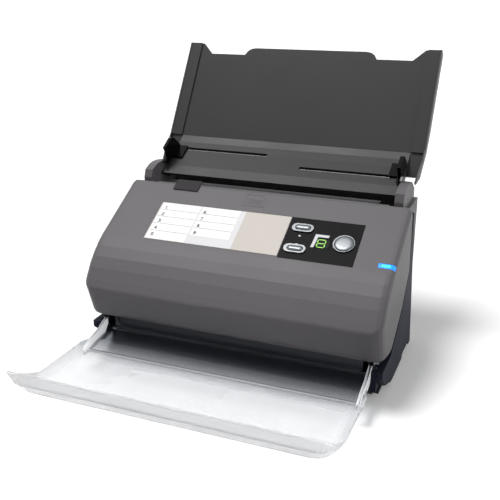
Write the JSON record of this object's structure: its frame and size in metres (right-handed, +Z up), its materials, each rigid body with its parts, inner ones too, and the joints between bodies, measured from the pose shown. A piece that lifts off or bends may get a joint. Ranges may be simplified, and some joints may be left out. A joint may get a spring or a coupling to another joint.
{
  "type": "document scanner",
  "caption": "Desktop sheet-fed document scanner with a hinged front cover, an upright input chute and a clear output tray.",
  "frame": {"origin": "on the table, under the middle of the box around the whole scanner with its chute up and its tray open", "axes": "+X to the right seen from the front, +Y to the back, +Z up"},
  "size_m": [0.29, 0.3776, 0.2859],
  "materials": {
    "shell_grey": "fine satin texture, mid grey",
    "navy": "fine matt texture, dark blue-grey",
    "black": "smooth satin black",
    "guide_black": "glossy black",
    "chute_grey": "fine satin texture, dark grey",
    "panel": "smooth semi-gloss charcoal",
    "label": "printed sheet, satin",
    "silver": "silver paint, satin",
    "clear": "clear, slightly frosted",
    "window": "dark window",
    "scan_glass": "clear glass over a dark sensor",
    "light": "blue light pipe",
    "steel": "plain zinc-plated steel",
    "rubber": "matt rubber",
    "gear": "natural acetal",
    "board": "green solder mask"
  },
  "bodies": {
    "body": {"base_tray": "navy", "exit_ramp": "navy", "foot_front_left": "rubber", "foot_front_right": "rubber", "foot_back_left": "rubber", "foot_back_right": "rubber", "side_panel_left": "navy", "side_panel_right": "navy", "rear_casing": "shell_grey", "dc_inlet": "black", "usb_socket": "steel", "frame_left": "steel", "frame_right": "steel", "hinge_bracket_left": "steel", "hinge_bracket_right": "steel", "hinge_pin_left": "steel", "hinge_pin_right": "steel", "feed_guide": "black", "lower_scan_module": "black", "lower_scan_glass": "scan_glass", "idler_stub": "steel", "small_idler_stub": "steel", "motor": "steel", "main_board": "board"},
    "cover": {"cover_shell": "shell_grey", "label_plate": "label", "panel_bezel": "panel", "display_window": "window", "control_board": "board", "status_light": "light", "cover_guide": "black", "upper_scan_module": "black", "upper_scan_glass": "scan_glass", "separation_pad": "rubber"},
    "plus": {"plus_button": "silver"},
    "minus": {"minus_button": "silver"},
    "scan": {"scan_button": "silver"},
    "catch": {"release_catch": "panel", "latch_bar": "steel"},
    "feed_pinch": {"feed_pinch_rollers": "rubber"},
    "exit_pinch": {"exit_pinch_rollers": "rubber"},
    "feed": {"feed_rollers": "rubber", "feed_gear": "gear"},
    "exit": {"exit_rollers": "rubber", "exit_gear": "gear"},
    "pick": {"pick_rollers": "rubber", "pick_gear": "gear"},
    "idler": {"idler_gear": "gear"},
    "small_wheel": {"small_idler": "gear"},
    "motor_shaft": {"motor_pinion": "steel"},
    "switch": {"power_switch": "black"},
    "chute": {"chute_pan": "chute_grey", "guide_pinion_pin": "steel"},
    "left_guide": {"side_guide_left": "guide_black"},
    "right_guide": {"side_guide_right": "guide_black"},
    "guide_wheel": {"guide_pinion": "gear"},
    "extension": {"chute_extension": "chute_grey"},
    "tray": {"output_tray": "clear"}
  },
  "joints": [
    {"name": "cover_hinge", "type": "hinge", "parent": "body", "child": "cover", "pos_m": [0, -0.0388, 0.0548], "axis": [1, 0, 0], "range_deg": [0, 70]},
    {"name": "tray_hinge", "type": "hinge", "parent": "body", "child": "tray", "pos_m": [0, -0.0423, 0.0345], "axis": [1, 0, 0], "range_deg": [-52, 0]},
    {"name": "chute_hinge", "type": "hinge", "parent": "body", "child": "chute", "pos_m": [0, 0.0862, 0.158], "axis": [-1, 0, 0], "range_deg": [-122, 0]},
    {"name": "extension_slide", "type": "slide", "parent": "chute", "child": "extension", "axis": [0, 0.5314, 0.8471], "range_m": [0, 0.09]},
    {"name": "left_guide_slide", "type": "slide", "parent": "chute", "child": "left_guide", "axis": [1, 0, 0], "range_m": [0, 0.09]},
    {"name": "right_guide_slide", "type": "slide", "parent": "chute", "child": "right_guide", "axis": [-1, 0, 0], "range_m": [0, 0.09]},
    {"name": "guide_wheel_turn", "type": "hinge", "parent": "chute", "child": "guide_wheel", "pos_m": [0, 0.0987, 0.17613], "axis": [0, -0.4695, 0.8829], "range_deg": [-870, 0]},
    {"name": "plus_press", "type": "slide", "parent": "cover", "child": "plus", "axis": [0, 0.5, -0.866], "range_m": [0, 0.0011], "stiffness_N_per_m": 400},
    {"name": "minus_press", "type": "slide", "parent": "cover", "child": "minus", "axis": [0, 0.5, -0.866], "range_m": [0, 0.0011], "stiffness_N_per_m": 400},
    {"name": "scan_press", "type": "slide", "parent": "cover", "child": "scan", "axis": [0, 0.5, -0.866], "range_m": [0, 0.0011], "stiffness_N_per_m": 400},
    {"name": "catch_slide", "type": "slide", "parent": "cover", "child": "catch", "axis": [0, -0.866, -0.5], "range_m": [0, 0.003], "stiffness_N_per_m": 400},
    {"name": "switch_rock", "type": "hinge", "parent": "body", "child": "switch", "pos_m": [0.118, 0.1057, 0.032], "axis": [1, 0, 0], "range_deg": [-10, 0]},
    {"name": "feed_turn", "type": "hinge", "parent": "body", "child": "feed", "pos_m": [0, 0.02283, 0.1077], "axis": [1, 0, 0], "continuous": true},
    {"name": "exit_turn", "type": "hinge", "parent": "body", "child": "exit", "pos_m": [0, -0.01152, 0.06603], "axis": [1, 0, 0], "continuous": true},
    {"name": "pick_turn", "type": "hinge", "parent": "body", "child": "pick", "pos_m": [0, 0.04604, 0.12485], "axis": [1, 0, 0], "continuous": true},
    {"name": "idler_turn", "type": "hinge", "parent": "body", "child": "idler", "pos_m": [0, 0.00565, 0.08686], "axis": [1, 0, 0], "continuous": true},
    {"name": "small_wheel_turn", "type": "hinge", "parent": "body", "child": "small_wheel", "pos_m": [0, 0.03284, 0.12018], "axis": [1, 0, 0], "continuous": true},
    {"name": "motor_turn", "type": "hinge", "parent": "body", "child": "motor_shaft", "pos_m": [0, 0.0234, 0.07223], "axis": [1, 0, 0], "continuous": true},
    {"name": "feed_pinch_turn", "type": "hinge", "parent": "cover", "child": "feed_pinch", "pos_m": [0, 0.01333, 0.11552], "axis": [1, 0, 0], "continuous": true},
    {"name": "exit_pinch_turn", "type": "hinge", "parent": "cover", "child": "exit_pinch", "pos_m": [0, -0.02101, 0.07385], "axis": [1, 0, 0], "continuous": true}
  ],
  "couplings": [
    {"joint": "right_guide_slide", "follows": "left_guide_slide", "ratio": 1},
    {"joint": "guide_wheel_turn", "follows": "left_guide_slide", "rad_per_m": -166.67},
    {"joint": "exit_turn", "follows": "feed_turn", "ratio": 1},
    {"joint": "idler_turn", "follows": "feed_turn", "ratio": -0.58823},
    {"joint": "motor_turn", "follows": "feed_turn", "ratio": 1.6667},
    {"joint": "small_wheel_turn", "follows": "feed_turn", "ratio": -1.6667},
    {"joint": "pick_turn", "follows": "feed_turn", "ratio": 1.25},
    {"joint": "feed_pinch_turn", "follows": "feed_turn", "ratio": -1.4},
    {"joint": "exit_pinch_turn", "follows": "feed_turn", "ratio": -1.4}
  ]
}
